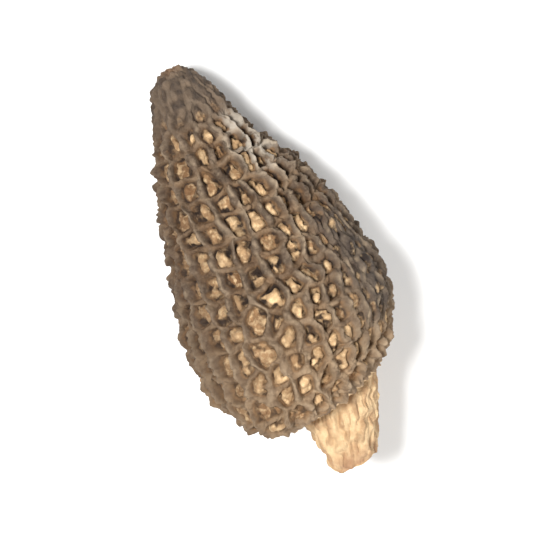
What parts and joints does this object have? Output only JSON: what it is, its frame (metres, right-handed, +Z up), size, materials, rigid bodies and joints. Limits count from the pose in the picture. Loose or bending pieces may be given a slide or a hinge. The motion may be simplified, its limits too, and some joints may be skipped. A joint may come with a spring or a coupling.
{
  "type": "black morel mushroom",
  "caption": "Dried black morel lying on its side: a pointed, hollow cap with a net of ridges and pits, and a short cut stem.",
  "frame": {"origin": "on the surface that the morel lies on, under the middle of its box", "axes": "+Y along the fruit body towards the tip of the cap, +Z up, +X to the right seen from above with the tip up"},
  "size_m": [0.0202, 0.04, 0.0173],
  "materials": {
    "morel": "matt, dry and finely wrinkled: grey-brown ridges, golden tan pits and a cream stem"
  },
  "bodies": {
    "root": {"morel": "morel"}
  },
  "joints": []
}
